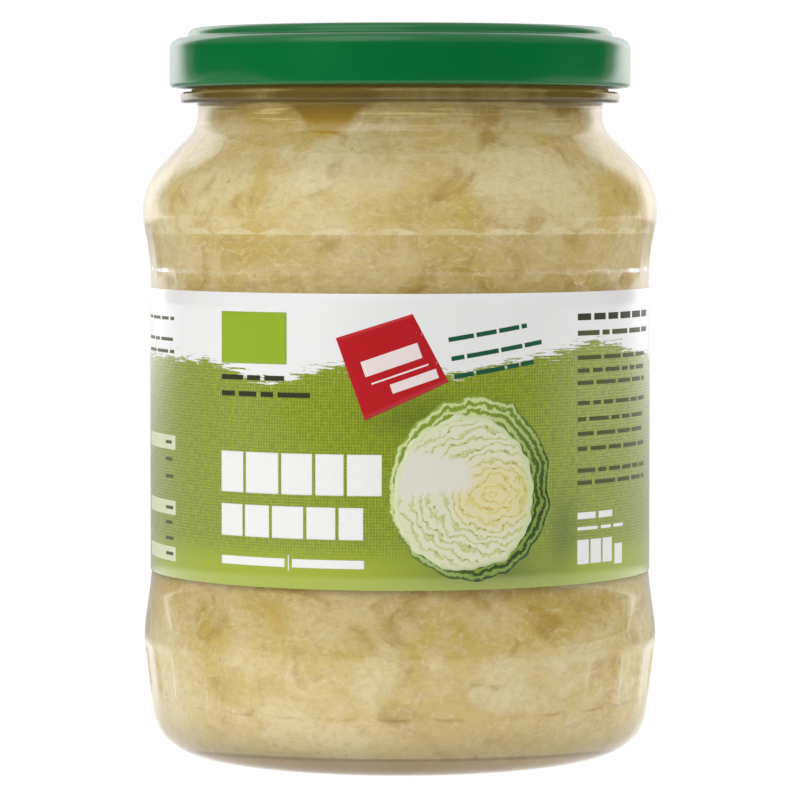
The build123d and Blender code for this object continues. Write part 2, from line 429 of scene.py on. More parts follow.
def clear_material(name, tint, ior, absorbed, density, bump_height=0, film=None):
    """Clear body that bends what is seen through it. Light from lamps, and light on its way
    to a matt surface, goes straight through. film(tree) may give the amount and the colour of
    a matt film on its surface."""
    material, tree = new_material(name)
    shadow, diffuse = tree.rays("Shadow", "Diffuse")
    sockets = {"Color": tint, "Roughness": 0.0, "IOR": ior}
    if bump_height:
        wave = tree.noise(tree.place(), 55.0, 1.0)
        sockets["Normal"] = tree.bump(wave, bump_height)
    body = tree.node("ShaderNodeBsdfGlass", None, sockets)
    if film:
        amount, colour = film(tree)
        matt = tree.node("ShaderNodeBsdfDiffuse", None, {"Color": colour})
        body = tree.mix(amount, body, matt)
    through = tree.node("ShaderNodeBsdfTransparent", None, {"Color": (1, 1, 1)})
    surface = tree.mix(shadow.math("MAXIMUM", diffuse), body, through)
    volume = tree.node("ShaderNodeVolumeAbsorption", None, {"Color": absorbed, "Density": density})
    tree.node("ShaderNodeOutputMaterial", None, {"Surface": surface, "Volume": volume})
    return material


def paint(name, description, colour):
    """Property that holds a colour."""
    return bpy.props.FloatVectorProperty(
        name=name, description=description, subtype="COLOR", default=colour
    )


def number(name, description, default, **more):
    """Property that holds a size, an amount or a power."""
    return bpy.props.FloatProperty(name=name, description=description, default=default, **more)


# ---------------------------------------------------------------- glass
def facet_columns():
    """Azimuths of the glass: sixteen for each facet, closer together at its edges."""
    pitch = 10.55
    side = np.array([1.4, 2.6, 3.4, 3.95, 4.3, 4.65, 5.0]) / pitch
    places = np.concatenate([-side[::-1], [0], side, [0.5]]) * 2 * pi / FACETS
    centres = FACET_PHASE + np.arange(FACETS) * 2 * pi / FACETS
    return (centres[:, None] + places).ravel()


def smaller(a, b, blend):
    """The smaller of two arrays, with the crease between them rounded over a blend."""
    return np.minimum(a, b) - np.maximum(blend - np.abs(a - b), 0) ** 2 / (4 * blend)


def faceted(outline, rib, depth):
    """Shape of the outside of the glass: the smaller of the turned outline and, in each band,
    flat panels that lie parallel to the bulge. Round its floor a panel climbs: a third of a
    millimetre out for each along at its sides, and a quarter above and below."""
    side_climb, end_climb = 0.32, 0.26
    soft, crease = 0.02, 0.06
    highest = np.argmax(outline[:, 1])
    pitch = 2 * pi / FACETS

    def shape(radius, height, azimuth):
        result = np.broadcast_to(radius, np.broadcast_shapes(radius.shape, azimuth.shape))
        outside = (np.arange(1, len(outline) - 1) <= highest)[:, None] & (height < BEAD_TOP)
        local = (azimuth - FACET_PHASE + pitch / 2) % pitch - pitch / 2
        for bottom, length in FACET_BANDS:
            ends = np.interp([bottom, bottom + length], *outline[: highest + 1].T[::-1])
            middle = bottom + length / 2
            lean = atan2(ends[0] - ends[1], length)
            width = pi * ends.sum() / FACETS - rib
            plane = (ends.mean() - depth - (height - middle) * tan(lean)) / np.cos(local)
            across = np.abs(radius * np.sin(local)) - (width / 2 - 3.0 * depth)
            up = np.abs(height - middle) / np.cos(lean) - (length / 2 - 3.2 * depth)
            climb = np.maximum(across, 0) * side_climb + np.maximum(up, 0) * end_climb
            cut = plane + np.hypot(climb, soft) - soft
            result = np.where(outside, smaller(result, cut, crease), result)
        return result + threads(radius, height, azimuth)

    return shape


def threads(radius, height, azimuth):
    """Six ramps round the finish: a rounded ridge 1.9 high at its foot and 1.5 out, over 40
    degrees, that climbs 2 degrees towards +X."""
    pitch = 2 * pi / 6
    half_height, reach, fade = 0.95, radians(20), radians(3)
    local = (azimuth + pitch / 2 - pi / 2) % pitch - pitch / 2
    middle = BEAD_TOP + 4.0 + radius * local * tan(radians(2))
    across = np.clip(1 - np.abs(height - middle) / half_height, 0, 1)
    along = np.clip((reach - np.abs(local)) / fade, 0, 1)
    ridge = 1.5 * (across * along) ** 0.6
    return np.where(np.abs(radius - FINISH) < 0.05, ridge, 0)


def glass_outline(rows):
    """Outline of the whole glass wall, from the middle of the base, up the outside, over the
    rim and down the inside to the middle of the floor."""
    bead = NECK + 3.2
    lip = RIM - 4
    outer = [
        (0, PUSH_UP),
        (FOOT_RING - 3.2, PUSH_UP_EDGE),
        (FOOT_RING, 0),
        *BODY_CORNERS[1:],
        (bead, BEAD_BOTTOM),
        (bead, BEAD_TOP),
        (FINISH, BEAD_TOP),
        (FINISH, RIM),
    ]
    rounds = [6, 0.8, *BODY_ROUNDS, 0.7, 0.7, 0.7, 0.5, 1.2, 1.2]
    outside = rounded([*outer, (BORE, RIM), (BORE, lip)], rounds)
    inside = inside_outline(0, lip)[::-1]

    def crowd(radius, height):
        edges = [z for bottom, length in FACET_BANDS for z in (bottom, bottom + length)]
        near = sum(np.exp(-(((height - z) / 0.9) ** 2)) for z in edges)
        ridge = (np.abs(radius - FINISH) < 0.1) * 1.2
        return 0.28 + 2.2 * near + ridge

    upper = spread(outside, int(rows * 0.7), crowd)
    lower = spread(inside, int(rows * 0.3), 0.25)
    return np.concatenate([upper, lower[1:]])


class JarGlassSettings(bpy.types.PropertyGroup):
    """Looks of the glass."""

    rib: number("Rib", "Width left between two facets, in millimetres", 1.1)
    facet_depth: number("Facet depth", "How deep a facet is pressed, in millimetres", 0.42)
    ior: number("Refraction", "Index of refraction of the glass", 1.5)
    tint: paint("Tint", "Colour that thick glass lets through", level(206, 222, 210))
    density: number("Density", "How fast thick glass takes light away, per metre", 14.0)


class JAR_OT_glass(bpy.types.Operator):
    """Make the clear jar with its facets, bead and threads"""

    bl_idname = "jar.glass"
    bl_label = "Glass jar"

    def execute(self, context):
        settings = context.scene.jar_glass
        outline = glass_outline(165)
        shape = faceted(outline, settings.rib, settings.facet_depth)
        mesh = make_mesh("glass_wall", *lathe(outline, facet_columns(), shape))
        absorbed = settings.tint, settings.density
        material = clear_material("Jar glass", (1, 1, 1), settings.ior, *absorbed, 0.06 * MM)
        place("glass_wall", mesh, material, "glass", "jar_glass")
        return {"FINISHED"}


# ---------------------------------------------------------------- brine
class JarBrineSettings(bpy.types.PropertyGroup):
    """Looks of the brine."""

    colour: paint("Colour", "Colour that deep brine lets through", (0.62, 0.42, 0.05))
    density: number("Density", "How fast the brine takes light away, per metre", 42.0)
    haze: number("Haze", "How much pulp clouds the brine at the wall", 0.9)
    pulp: paint("Pulp", "Palest pulp", level(226, 210, 160))
    yellow: paint("Yellow", "Yellower pulp", level(208, 181, 100))
    ochre: paint("Ochre", "Darkest pulp", level(174, 137, 56))
    amber: paint("Amber", "Brine over a hollow", level(192, 148, 16))
    # the brine's colour darkened by painted shade from the lid
    brown: paint("Brown", "Brine under the lid", level(138, 113, 50))


# Foot of the lower facets and top of the upper ones, as they show on what lies behind them.
FACETS_START, FACETS_END = 10.6, PANEL_END + 4.7


def facet_local(tree):
    """Place round the jar within a facet, from -0.5 to 0.5 with 0 at the middle of each."""
    x, y, _ = tree.split(tree.place())
    azimuth = x.math("ARCTAN2", y * -1.0)
    return ((azimuth - FACET_PHASE) * (FACETS / (2 * pi)) + 0.5).math("FRACT") - 0.5


def pulp_colour(tree, settings, height):
    """Pulp at the wall: cream with soft yellow and ochre patches, two kinds of fine threads
    and a few specks. Painted shade makes it darker next to the straight panel, and painted light
    makes it paler near the foot, in place of light from the white floor. A painted glint makes it
    pale in a curve over each upper facet, and painted shade makes it dark in a stroke under each
    lower one. It is rosy under the jar with a dark line at its edge. Under the lid it is brown, the
    brine's colour with painted shade from the lid, with pale level wisps that are painted glints
    from the glass below the bead."""
    broad = tree.noise(tree.place(1, 1.2), 62.0, 3.0, 0.55, 0.6)
    cloudy = tree.noise(tree.place(1, 1.3), 75.0, 3.0, 0.55, 1.2)
    low = painted_foot_light(height)
    # painted shade: darker round the straight panel behind the label
    beside = height.ramp(FACETS_END + 0.6, FACETS_END - 0.5) * height.ramp(20.0, 32.0)
    fine = tree.noise(tree.place(1, 1.8), 420.0, 3.0, 0.6, 2.0)
    speck = tree.noise(tree.place(), 520.0, 1.0)
    under = 1 - height.ramp(BASE + 0.1, BASE + 0.3)
    line = height.ramp(BASE + 0.1, BASE + 0.25) * height.ramp(BASE + 0.5, BASE + 0.35)

    def threads_of(scale):
        """Thin curved lines where a noise crosses a half."""
        curve = tree.noise(tree.place(1, 1.7), scale, 2.0, 0.5, 0.8)
        return (1 - (curve - 0.5).math("ABSOLUTE").ramp(0.0, 0.06)) * fine.ramp(0.4, 0.6)

    local = facet_local(tree)
    bow = local * local
    broken = cloudy.ramp(0.35, 0.6)
    # painted glint: pale curve where the top lip of each upper facet catches light
    painted_facet_glint = (height + bow * 4.4).ramp(FACETS_END + 1.3, FACETS_END + 1.05)
    painted_facet_glint = painted_facet_glint * height.ramp(FACETS_END - 0.1, FACETS_END + 0.15)
    # painted shade: a dark stroke under each lower facet
    painted_facet_shade = (height - bow * 3.6 - FACETS_START).math("ABSOLUTE").ramp(0.4, 0.1)
    painted_facet_shade = painted_facet_shade * local.math("ABSOLUTE").ramp(0.4, 0.25)
    # painted glints: pale level wisps in a band below the bead, for the glass there
    painted_glint_band = height.ramp(RIM - 19.5, RIM - 17.5) * height.ramp(RIM - 13.8, RIM - 15.0)
    wisps = tree.noise(tree.place(0.4, 10), 160.0, 2.0).ramp(0.54, 0.66)
    return tree.blend(
        settings.pulp,
        (broad.ramp(0.36, 0.64), settings.yellow),
        (cloudy.ramp(0.5, 0.74) * 0.8, settings.ochre),
        # painted light: paler pulp near the foot, in place of light from the white floor
        (low * 0.5, level(220, 200, 158)),
        # painted shade round the straight panel
        (beside * 0.35, level(184, 154, 82)),
        (fine.ramp(0.4, 0.75) * 0.3, level(214, 195, 146)),
        (threads_of(210.0) * 0.3, level(186, 150, 76)),
        (threads_of(170.0) * 0.35, level(236, 222, 180)),
        (speck.ramp(0.75, 0.8) * 0.45, level(150, 108, 46)),
        (under * 0.6, level(216, 180, 132)),
        (line * 0.5, level(124, 94, 56)),
        (painted_facet_glint * (broken * 0.45 + 0.2), level(238, 226, 182)),
        (painted_facet_shade * (broken * 0.4), level(150, 124, 72)),
        # painted shade: brown under the lid, partly the brine's colour
        (brine_and_lid_shade(height) * 0.6, settings.brown),
        (wisps * painted_glint_band * 0.6, level(228, 210, 146)),
    )


def brine_and_lid_shade(height):
    """How far a height has come into the brown under the lid: the brine's colour darkened by
    painted shade from the lid.
    """
    return height.ramp(RIM - 23.0, RIM - 13.5)


def painted_foot_light(height):
    """How near a height is to the foot, where painted light stands in for light from the white
    floor.
    """
    return 1 - height.ramp(1.0, 20.0)


def film_of_pulp(tree, settings):
    """Amount and colour of the pulp that clouds the brine at the wall, and of the brine over
    a hollow in the cabbage, amber and browner towards the lid, where the brown is the brine's
    colour with painted shade from the lid."""
    ragged = tree.noise(tree.place(1, 0.6), 260.0, 2.0)
    above = (tree.attribute("over_cabbage") + (ragged - 0.5) * 4.0).ramp(0.0, 2.8)
    height = tree.attribute("height")
    high = brine_and_lid_shade(height)
    streaks = tree.noise(tree.place(1, 9), 90.0, 2.0).ramp(0.4, 0.62)
    # brown towards the lid: brine colour with painted shade from the lid
    brown = (high * high, settings.brown)
    amber = tree.blend(settings.amber, (streaks, level(198, 162, 44)), brown)
    wisps = tree.noise(tree.place(1, 1.3), 170.0, 5.0, 0.6, 2.6)
    thin = wisps.ramp(0.3, 0.66) * 0.2 + (settings.haze - 0.12)
    # painted light: more pale pulp film near the foot
    amount = above * 0.8 + (1 - above) * (thin + painted_foot_light(height) * 0.15)
    return amount, tree.blend(pulp_colour(tree, settings, height), (above, amber))


class JAR_OT_brine(bpy.types.Operator):
    """Fill the jar with clear amber brine, clouded by pulp at the wall, up to its level"""

    bl_idname = "jar.brine"
    bl_label = "Brine"

    def execute(self, context):
        settings = context.scene.jar_brine
        side = inside_outline(-OVERLAP, BRINE_LEVEL)
        middle = [(BORE * share, BRINE_LEVEL) for share in (0.97, 0.8, 0.6, 0.4, 0.2, 0)]
        outline = np.concatenate([spread(side, 60, 0.2), middle])
        points, faces = lathe(outline, even_turn(192))
        mesh = make_mesh("brine_fill", points, faces)
        x, y, z = points.T
        out = np.maximum(np.hypot(x, y), 1) / BORE
        drop = CABBAGE_LEVEL - cabbage_top(x / out, y / out)
        shown = drop * np.abs(drop) / 5.6
        add_values(mesh, "over_cabbage", z - CABBAGE_LEVEL + shown)
        add_values(mesh, "height", z)
        tint = level(255, 252, 240)
        absorbed = settings.colour, settings.density
        material = clear_material(
            "Brine", tint, 1.33, *absorbed, film=lambda tree: film_of_pulp(tree, settings)
        )
        place("brine_fill", mesh, material, "brine", "brine")
        return {"FINISHED"}


# ---------------------------------------------------------------- cabbage
def ribbons(centres, inward, width, thickness, roll):
    """Points and faces of flat strips along rows of centre points. Each strip has a
    four-cornered section, width across it and thickness through it, turned by roll about the
    strip from lying flat against the wall, and narrows to its two ends."""
    count, steps = centres.shape[:2]
    tangent = np.gradient(centres, axis=1)
    tangent /= np.linalg.norm(tangent, axis=2, keepdims=True)
    across = np.cross(tangent, inward)
    across /= np.linalg.norm(across, axis=2, keepdims=True)
    through = np.cross(across, tangent)
    turn = roll[:, :, None]
    flat = across * np.cos(turn) + through * np.sin(turn)
    deep = through * np.cos(turn) - across * np.sin(turn)
    along = np.linspace(-1, 1, steps)[None, :, None]
    narrow = 1 - 0.7 * along**6
    flat = flat * narrow * width[:, None, None] / 2
    deep = deep * narrow * thickness[:, None, None] / 2
    rings = np.stack([centres + flat, centres + deep, centres - flat, centres - deep], 2)
    points = rings.reshape(-1, 3)
    wrap = faces_of(steps, 4)
    caps = np.array([[3, 2, 1, 0], [0, 1, 2, 3]]) + np.array([[0], [(steps - 1) * 4]])
    one = np.concatenate([wrap, caps])
    faces = one[None] + (np.arange(count) * steps * 4)[:, None, None]
    return points, faces.reshape(-1, 4)


def strolls(rng, count, steps, length, heading):
    """Sideways and upward distances along wavy paths: the heading starts near level, bends
    steadily and wiggles, and the path is its running sum."""
    along = np.linspace(-0.5, 0.5, steps)[None, :] * length[:, None]
    bend = rng.normal(0, 0.02, (count, 1))
    wiggle = rng.uniform(0.1, 0.45, (count, 1))
    wave = rng.uniform(9, 22, (count, 1))
    phase = rng.uniform(0, 2 * pi, (count, 1))
    angle = heading[:, None] + bend * along + wiggle * np.sin(2 * pi * along / wave + phase)
    pace = length[:, None] / (steps - 1)
    side = np.cumsum(np.cos(angle), axis=1) * pace
    rise = np.cumsum(np.sin(angle), axis=1) * pace
    centre = steps // 2
    return side - side[:, centre : centre + 1], rise - rise[:, centre : centre + 1]


def half_height(width, thickness, roll):
    """Half of what a rolled strip takes up of the depth from the wall inwards."""
    return 0.5 * (width[:, None] * np.abs(np.sin(roll)) + thickness[:, None] * np.abs(np.cos(roll)))


def wall_shreds(rng, count, low, high, deepest, steps=9):
    """Shreds that lie against the inside of the glass between two heights, at random depths
    from just clear of it to the deepest. On the floor they start a part of the way out."""
    clear, below_top, floor_start, tightest = 0.08, 0.2, 0.14, 12
    outline = spread(inside_outline(0, RIM), 500, 1)
    run = np.concatenate([[0], np.cumsum(np.hypot(*np.diff(outline, axis=0).T))])
    slope = np.gradient(outline, run, axis=0)
    floor = inside_outline(0, RIM)[1, 1]
    ends = [run[-1] * floor_start if low <= floor else np.interp(low, outline[:, 1], run)]
    ends.append(np.interp(high, outline[:, 1], run))
    length = rng.uniform(6, 30, count)
    heading = rng.normal(0, 0.8, count) + pi * (rng.random(count) < 0.5)
    side, rise = strolls(rng, count, steps, length, heading)
    middle = rng.uniform(*ends, (count, 1))
    spot = np.clip(middle + rise, ends[0] * 0.5, ends[1] + 1)
    radius, height = (np.interp(spot, run, v) for v in outline.T)
    lean_r, lean_z = (np.interp(spot, run, v) for v in (-slope[:, 1], slope[:, 0]))
    width = 0.5 + 1.3 * rng.random(count) ** 1.6
    thickness = rng.uniform(0.22, 0.4, count)
    along = np.linspace(-1, 1, steps)
    roll = rng.normal(0, 0.2, (count, 1)) + rng.normal(0, 0.2, (count, 1)) * along
    half = half_height(width, thickness, roll)
    tilt = rng.normal(0, 0.3, (count, 1)) * along
    depth = clear + half + np.abs(deepest * rng.random((count, 1)) + tilt)
    azimuth = rng.uniform(0, 2 * pi, (count, 1)) + side / np.maximum(radius, tightest)
    radius, height = radius + lean_r * depth, height + lean_z * depth
    x, y = radius * np.sin(azimuth), -radius * np.cos(azimuth)
    height = np.minimum(height, cabbage_top(x, y) - below_top - half)
    centres = np.stack([x, y, height], -1)
    inward = np.stack([lean_r * np.sin(azimuth), -lean_r * np.cos(azimuth), lean_z], -1)
    return ribbons(centres, inward, width, thickness, roll), depth - half


def top_shreds(rng, count, deepest, steps=9):
    """Shreds that lie on the uneven top of the cabbage, drawn in where they would meet the
    glass."""
    length = rng.uniform(12, 34, count)
    side, rise = strolls(rng, count, steps, length, rng.uniform(0, 2 * pi, count))
    out = (BORE - 1.2) * np.sqrt(rng.random((count, 1)))
    azimuth = rng.uniform(0, 2 * pi, (count, 1))
    x, y = out * np.sin(azimuth) + side, -out * np.cos(azimuth) + rise
    far = np.hypot(x, y)
    pull = np.minimum(1, (BORE - 1.3) / np.maximum(far, 1))
    x, y = x * pull, y * pull
    width = rng.uniform(0.8, 2.0, count)
    thickness = rng.uniform(0.35, 0.8, count)
    roll = rng.normal(0, 0.4, (count, 1)) + np.zeros((1, steps))
    half = half_height(width, thickness, roll)
    depth = half + deepest * rng.random((count, 1))
    centres = np.stack([x, y, cabbage_top(x, y) - depth], -1)
    inward = np.broadcast_to(np.array([0.0, 0.0, -1.0]), centres.shape)
    return ribbons(centres, inward, width, thickness, roll), depth - half


def cabbage_core(inside):
    """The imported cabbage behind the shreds: the inside of the glass moved in, its top a
    little under the uneven top, with rounded relief as fine as the shreds."""
    relief, below_top = 0.28, 1.4
    side = spread(inside_outline(inside, CABBAGE_LEVEL), 175, 0.4)
    top = [(side[-1, 0] * share, side[-1, 1]) for share in np.linspace(0.98, 0, 24)]
    points, faces = lathe(np.concatenate([side, top]), even_turn(480))
    x, y, z = points.T
    rough = 0.7 * ripple(5, 40, 4.5)(x, y, 1.8 * z) + 0.7 * ripple(6, 40, 2.2)(x, y, 1.6 * z)
    out = np.hypot(x, y)
    scale = 1 - relief * (1 + np.clip(rough, -2, 2)) / np.maximum(out, 4) * (out > 1)
    x, y = x * scale, y * scale
    z = np.minimum(z, cabbage_top(x, y) - below_top + 0.4 * np.clip(rough, -2, 1))
    return np.stack([x, y, z], 1), faces


def cabbage_material(pale, deep, patch):
    """Wet cabbage: each strip has a tint of its own between two colours, partly at random and
    partly painted shade that darkens deeper strips, with ochre patches that run over several
    strips, a few brown specks and fine curled fibres."""
    material, tree = new_material("Cabbage")
    cloud = tree.noise(tree.place(1, 1.3), 75.0, 3.0, 0.55, 1.2)
    fibre = tree.noise(tree.place(1, 1.6), 260.0, 4.0, 0.6, 2.2)
    speck = tree.noise(tree.place(), 620.0, 1.0)
    colour = tree.blend(
        pale,
        (tree.attribute("tint"), deep),
        (cloud.ramp(0.48, 0.74) * 0.8, patch),
        (fibre.ramp(0.5, 0.7) * 0.35, level(215, 196, 147)),
        (speck.ramp(0.755, 0.79) * 0.7, level(134, 96, 50)),
    )
    relief = tree.bump(fibre, 0.2 * MM)
    opaque(tree, colour, fibre * 0.1 + 0.55, relief, Specular_IOR_Level=0.08)
    return material


class JarCabbageSettings(bpy.types.PropertyGroup):
    """Looks of the cabbage."""

    pale: paint("Pale", "Palest shreds", level(218, 199, 140))
    # painted shade: deeper strips and the core lean to this colour
    deep: paint("Deep", "Darkest shreds", level(205, 178, 108))
    patch: paint("Patches", "Ochre patches", level(182, 143, 65))
    share: number("Share", "Share of the full number of shreds", 1.0, min=0.05)


class JAR_OT_cabbage(bpy.types.Operator):
    """Lay the cabbage shreds over their packed core"""

    bl_idname = "jar.cabbage"
    bl_label = "Cabbage"

    def execute(self, context):
        settings = context.scene.jar_cabbage
        material = cabbage_material(settings.pale, settings.deep, settings.patch)
        mesh = make_mesh("cabbage_core", *cabbage_core(1.1))
        # painted shade: the core behind the shreds takes the darkest colour
        add_values(mesh, "tint", np.ones(len(mesh.vertices)))
        place("cabbage_core", mesh, material, "cabbage", "sauerkraut")
        rng = np.random.default_rng(11)
        beds = {  # how they lie, their number, heights for those at the wall, and deepest
            "shreds_shoulder": (wall_shreds, 2850, PANEL_END - 8, CABBAGE_LEVEL, 0.9),
            "shreds_behind_label": (wall_shreds, 1500, PANEL_START, PANEL_END - 6, 0.9),
            "shreds_foot": (wall_shreds, 2850, 0.0, PANEL_START + 4, 0.9),
            "shreds_top": (top_shreds, 500, 1.5),
        }
        for name, (lay, count, *where) in beds.items():
            strips = max(8, int(count * settings.share))
            (points, faces), depth = lay(rng, strips, *where)
            mesh = make_mesh(name, points, faces)
            # painted shade: part of each strip's tint grows with its depth from the wall
            own = rng.random((strips, 1)) * 0.7 + 0.2 * depth  # deeper strips are darker
            add_values(mesh, "tint", np.repeat(own, 4, axis=1).ravel())
            place(name, mesh, material, "cabbage", "sauerkraut")
        return {"FINISHED"}


# ---------------------------------------------------------------- lid
def lid_outline(rows):
    """Closed outline of the pressed sheet, as points that gather at its rounds: from the middle
    of the top, where a low button stands in a sunk middle, out over the ring above the rim,
    down the shoulder and the skirt, round the curl, and back along the underside."""
    sheet = 0.3
    top, bottom = LID_HIGH[2], LID_LOW[2]
    skirt = LID_HIGH[0]
    curl = skirt - 1.7
    ring = BORE - sheet
    # Radius, height, round and whether it turns outwards, for each corner between two ends.
    corners = (
        (13, top - 1.4, 3.0, False),
        (15.5, top - 0.9, 3.0, True),
        (ring - 1.2, top - 0.9, 0.8, False),
        (ring, top, 0.5, True),
        (FINISH + 0.3, top, 1.5, True),
        (FINISH + 0.8, top - 1.7, 0.6, False),
        (skirt, top - 2.0, 2.2, True),
        (skirt, bottom, 0.8, True),
        (curl, bottom, 0.7, True),
    )
    outer = [(0, top - 1.4), *(corner[:2] for corner in corners), (curl, bottom + 1.4)]
    inner = inset(outer[::-1], [sheet] * (len(outer) - 1))
    outside = rounded(outer, [r for *_, r, _ in corners])
    rounds = [r - sheet if out else r + sheet for *_, r, out in corners][::-1]
    start = (outer[-1][0] + sheet, outer[-1][1])
    inside = rounded([start, *inner, (0, outer[0][1] - sheet)], rounds)
    return np.concatenate([spread(outside, rows, 0.35), spread(inside, rows, 0.35)])


def lid_shape(radius, height, azimuth):
    """Six lugs: the curl is pressed in a little where each lug stands."""
    lugs, first, tall, pressed = 6, radians(12), 3.6, 0.16
    local = np.cos(lugs * (azimuth - first))
    low = np.clip(1 - (height - LID_LOW[2]) / tall, 0, 1) * (radius > FINISH + 1)
    return radius - pressed * low * (0.5 + 0.5 * local) ** 3


class JarLidSettings(bpy.types.PropertyGroup):
    """Looks of the lid."""

    green: paint("Green", "Colour of the lacquer", level(3, 112, 54))


class JAR_OT_lid(bpy.types.Operator):
    """Make the lacquered twist-off lid"""

    bl_idname = "jar.lid"
    bl_label = "Lid"

    def execute(self, context):
        mesh = make_mesh("lid_shell", *lathe(lid_outline(80), even_turn(288), lid_shape))
        material, tree = new_material("Green lacquer")
        cloud = tree.noise(tree.place(), 90.0, 2.0)
        green = context.scene.jar_lid.green
        shade = tuple(0.86 * c for c in green)
        colour = tree.blend(green, (cloud, shade))
        peel = tree.bump(tree.noise(tree.place(), 1500.0, 1.0), 0.004 * MM)
        coat = {"Specular_IOR_Level": 0.3, "Coat_Weight": 0.35, "Coat_Roughness": 0.05}
        opaque(tree, colour, cloud.ramp(0.2, 0.9) * 0.05 + 0.16, peel, **coat)
        place("lid_shell", mesh, material, "lid_lacquer", "lid")
        return {"FINISHED"}


# ---------------------------------------------------------------- label
def on_label(u, v, lift=0.0):
    """Point on the label: u is the distance round it from the front, towards +X, and v the
    height."""
    radius = LABEL_RADIUS + lift
    turn = u / LABEL_RADIUS
    return np.stack(np.broadcast_arrays(radius * np.sin(turn), -radius * np.cos(turn), v), -1)


def field_edge(u):
    """Height of the brushed upper edge of the green field, round the whole label: level, with
    a dip to the left of the front, a shallow one at the front and a rise to the right."""
    edge = 74.0 + 0 * u
    for middle, height, width in ((-24, -3.4, 9), (8, -1.8, 9), (40, 3.2, 12), (100, 1.4, 16)):
        edge = edge + height * np.exp(-(((u - middle) / width) ** 2))
    return edge


def label_sheet():
    """One turn of paper that starts at the back and ends 8 mm over its own start, where it
    steps out by its own thickness. Its section is a thin rectangle with chamfered corners."""
    overlap, climb = 8.0, 1.2
    half = pi * LABEL_RADIUS
    turn, end = half - overlap / 2 - climb, half + overlap / 2
    single = np.linspace(turn - 2 * half + climb, turn, 330)
    u = np.concatenate([single[:-1], np.linspace(turn, end, 16)])
    step = np.clip(u - turn, 0, 1)
    lift = PAPER * step * step * (3 - 2 * step)
    low, high = LABEL_LOW[2], LABEL_HIGH[2]
    soft = 0.04
    face = [(v, 0.0) for v in np.linspace(low + soft, high - soft, 20)]
    edges = [(high, -soft), (high, soft - PAPER), (high - soft, -PAPER)]
    edges += [(low + soft, -PAPER), (low, soft - PAPER), (low, -soft)]
    heights, depths = np.array(face + edges).T[:, :, None]
    points = on_label(u[None, :], heights, depths + lift[None, :])
    rows, columns = points.shape[:2]
    ring = np.arange(rows) * columns
    closed = [faces_of(rows, columns, wrap_rows=True, wrap_columns=False)]
    for column, along in ((0, 1), (columns - 1, -1)):
        side = (ring + column)[::along]
        corner = np.full(rows - 2, side[0])
        closed.append(np.stack([corner, side[1:-1], side[2:], np.full(rows - 2, -1)], -1))
    spots = [np.broadcast_to(w, (rows, columns)).ravel() for w in (u, heights)]
    return points.reshape(-1, 3), np.concatenate(closed), spots


def paper_material(white, green, bright):
    """Coated paper: white above a dry-brushed edge and green below, with a canvas weave in the
    green that fades to a plain brighter green near the foot, and soft shade under the tag and
    the cabbage head."""
    material, tree = new_material("Label paper")
    u, v, _ = tree.split(tree.face())
    from_edge = tree.attribute("above_field")
    above = from_edge + (tree.grain(0.22, 2.4, 3.0, 0.6) - 0.5) * 7.0
    above = above + (tree.grain(1.1, 5.0, 2.0, 0.6) - 0.5) * 2.6
    printed = 1 - above.ramp(-0.35, 0.35)
    warp, weft = tree.grain(0.7, 3.2, 1.0), tree.grain(3.2, 0.7, 1.0)
    weave = ((warp + weft - 1.0) * 1.3 + thread_grid(u, v, 0.56)).ramp(0.05, 0.95)
    dark = tuple(0.74 * c for c in green)
    light = tuple(min(1.0, 1.22 * c) for c in green)
    woven = tree.blend(dark, (weave, light))
    dry = tree.grain(1.4, 1.8, 3.0, 0.7).ramp(0.56, 0.72)
    dry = dry * (1 - from_edge.math("ABSOLUTE").ramp(0.5, 6.0)) * 0.55
    foot = v.ramp(LABEL_LOW[2] + 3.0, LABEL_LOW[2] + 9.0)
    shade = (tree.attribute("shade"), level(56, 80, 8))
    field = tree.blend(bright, (foot, woven), (dry, level(214, 224, 170)), shade)
    fibre = tree.noise(tree.place(), 900.0, 2.0)
    relief = tree.bump(weave * printed * 0.6 + fibre * 0.4, 0.01 * MM)
    coat = {"Coat_Weight": 0.9, "Coat_IOR": 1.65, "Coat_Roughness": 0.14}
    opaque(tree, tree.blend(white, (printed, field)), fibre * 0.1 + 0.36, relief, **coat)
    return material


def thread_grid(u, v, pitch):
    """Crossed threads of a pitch: the mean of two sines, from 0 to 1."""
    turn = 2 * pi / pitch
    return ((u * turn).math("SINE") + (v * turn).math("SINE")) * 0.25 + 0.5


class JarLabelSettings(bpy.types.PropertyGroup):
    """Looks of the label and its print."""

    white: paint("Paper", "Unprinted paper", level(243, 243, 242))
    green: paint("Field", "Woven green field", level(138, 155, 18))
    bright: paint("Foot", "Plain green at the foot", level(160, 176, 20))
    tag: paint("Tag", "Red tag", level(188, 0, 20))
    ink: paint("Ink", "Small dark print", level(74, 84, 34))


class JAR_OT_label(bpy.types.Operator):
    """Wrap the paper label round the jar"""

    bl_idname = "jar.label"
    bl_label = "Label"

    def execute(self, context):
        settings = context.scene.jar_label
        points, faces, (u, v) = label_sheet()
        mesh = make_mesh("label_paper", points, faces)
        add_uv(mesh, u, v)
        add_values(mesh, "above_field", v - field_edge(u))
        shade = 0 * u
        for amount, x, y, wide, high in (  # under the tag, and under and beside the head
            (0.5, 4.0, 64.5, 9.0, 3.4),
            (0.75, 17.0, 37.5, 14.0, 3.0),
            (0.5, 31.5, 44.0, 3.5, 6.0),
        ):
            shade = shade + amount * np.exp(-(((u - x) / wide) ** 2) - ((v - y) / high) ** 2)
        add_values(mesh, "shade", shade)
        material = paper_material(settings.white, settings.green, settings.bright)
        place("label_paper", mesh, material, "label_paper", "label")
        return {"FINISHED"}


# ---------------------------------------------------------------- print
SUNK = -0.03  # how far the print reaches into the paper


